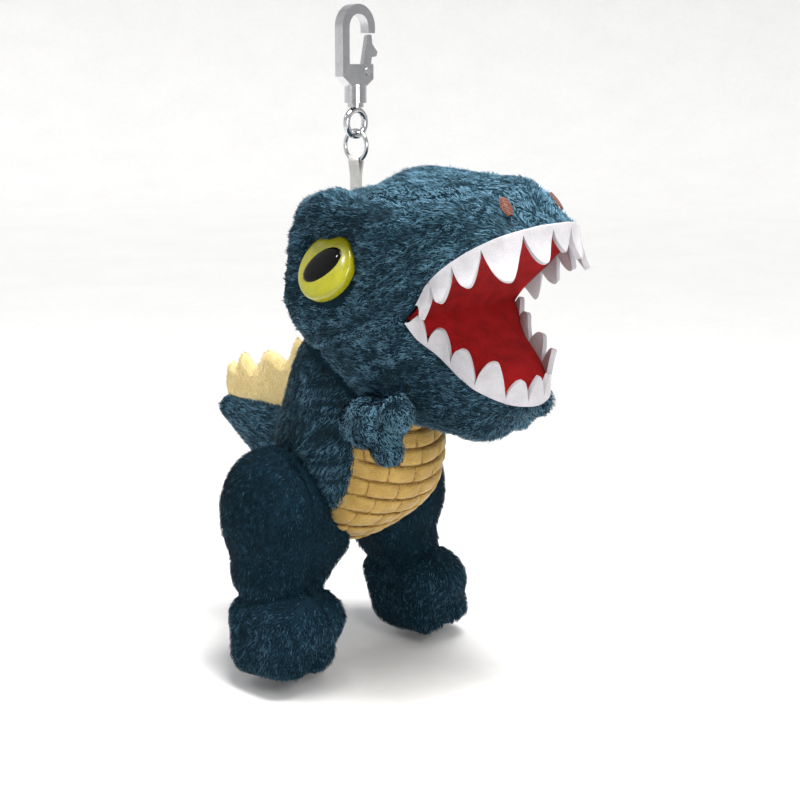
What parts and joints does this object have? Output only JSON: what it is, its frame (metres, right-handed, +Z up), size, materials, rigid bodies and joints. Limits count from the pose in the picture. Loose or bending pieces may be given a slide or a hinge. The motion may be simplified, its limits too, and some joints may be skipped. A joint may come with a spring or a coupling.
{
  "type": "plush keychain",
  "caption": "Stuffed open-mouthed dinosaur hung by a ribbon and jump ring from a swivel trigger clasp that hooks to a bag, zip or key ring.",
  "frame": {"origin": "centre of the clasp's hook seat, where a bag ring or rod sits", "axes": "+Z up, the dinosaur faces -Y, its right side is -X; +Y also lies along the hook seat's axis"},
  "size_m": [0.0662, 0.11, 0.158],
  "materials": {
    "bright_metal": "polished",
    "spring_steel": "satin",
    "satin_ribbon": "satin",
    "wadding": "matte",
    "velvet_lining": "matte",
    "tooth_felt": "matte",
    "washer_plastic": "satin",
    "eye_plastic": "gloss",
    "pupil_plastic": "gloss",
    "nostril_thread": "satin",
    "belly_quilt": "matte",
    "ridge_plush": "matte",
    "body_plush": "matte"
  },
  "bodies": {
    "clasp": {"clasp_body": "bright_metal", "lever_pin": "spring_steel", "lever_spring": "spring_steel"},
    "lever": {"clasp_lever": "bright_metal"},
    "swivel": {"swivel_eye": "bright_metal"},
    "ring": {"jump_ring": "bright_metal"},
    "plush": {"ribbon_loop": "satin_ribbon", "head_panel_right": "body_plush", "head_panel_left": "body_plush", "crown_panel": "body_plush", "brow_roll_right": "body_plush", "brow_roll_left": "body_plush", "palate_lining": "velvet_lining", "upper_teeth": "tooth_felt", "head_filling": "wadding", "eye_right": "eye_plastic", "eye_left": "eye_plastic", "pupil_right": "pupil_plastic", "pupil_left": "pupil_plastic", "eye_washer_right": "washer_plastic", "eye_washer_left": "washer_plastic", "nostril_right": "nostril_thread", "nostril_left": "nostril_thread", "body_panel_right": "body_plush", "body_panel_left": "body_plush", "belly_patch": "belly_quilt", "body_filling": "wadding", "back_ridge": "ridge_plush", "tail_panel_right": "body_plush", "tail_panel_left": "body_plush", "tail_filling": "wadding"},
    "jaw": {"jaw_panel": "body_plush", "tongue_lining": "velvet_lining", "lower_teeth": "tooth_felt", "jaw_filling": "wadding"},
    "right_arm": {"arm_right_outer": "body_plush", "arm_right_inner": "body_plush", "arm_right_filling": "wadding"},
    "left_arm": {"arm_left_outer": "body_plush", "arm_left_inner": "body_plush", "arm_left_filling": "wadding"},
    "right_leg": {"leg_right_outer": "body_plush", "leg_right_inner": "body_plush", "leg_right_filling": "wadding"},
    "left_leg": {"leg_left_outer": "body_plush", "leg_left_inner": "body_plush", "leg_left_filling": "wadding"}
  },
  "joints": [
    {"name": "lever_press", "type": "hinge", "parent": "clasp", "child": "lever", "pos_m": [0.003, 0, -0.0099], "axis": [0, -1, 0], "range_deg": [0, 24], "stiffness_Nm_per_rad": 0.01, "springref_deg": -28.65, "deforming": ["lever_spring"]},
    {"name": "swivel_spin", "type": "hinge", "parent": "clasp", "child": "swivel", "pos_m": [0, 0, -0.0165], "axis": [0, 0, 1], "continuous": true},
    {"name": "ring_swing", "type": "hinge", "parent": "swivel", "child": "ring", "pos_m": [0, 0, -0.0246], "axis": [1, 0, 0], "range_deg": [-60, 60]},
    {"name": "plush_swing", "type": "hinge", "parent": "ring", "child": "plush", "pos_m": [0, 0, -0.03018], "axis": [0, 1, 0], "range_deg": [-50, 50]},
    {"name": "jaw_flex", "type": "hinge", "parent": "plush", "child": "jaw", "pos_m": [0, -0.025, -0.06418], "axis": [1, 0, 0], "range_deg": [-6, 6], "stiffness_Nm_per_rad": 0.05},
    {"name": "right_arm_flex", "type": "hinge", "parent": "plush", "child": "right_arm", "pos_m": [-0.0205, -0.017, -0.08718], "axis": [1, 0, 0], "range_deg": [-6, 20], "stiffness_Nm_per_rad": 0.01},
    {"name": "left_arm_flex", "type": "hinge", "parent": "plush", "child": "left_arm", "pos_m": [0.0205, -0.017, -0.08718], "axis": [1, 0, 0], "range_deg": [-6, 20], "stiffness_Nm_per_rad": 0.01},
    {"name": "right_leg_flex", "type": "hinge", "parent": "plush", "child": "right_leg", "pos_m": [-0.0205, 0.008, -0.11618], "axis": [1, 0, 0], "range_deg": [-10, 10], "stiffness_Nm_per_rad": 0.1},
    {"name": "left_leg_flex", "type": "hinge", "parent": "plush", "child": "left_leg", "pos_m": [0.0205, 0.008, -0.11618], "axis": [1, 0, 0], "range_deg": [-10, 10], "stiffness_Nm_per_rad": 0.1}
  ]
}
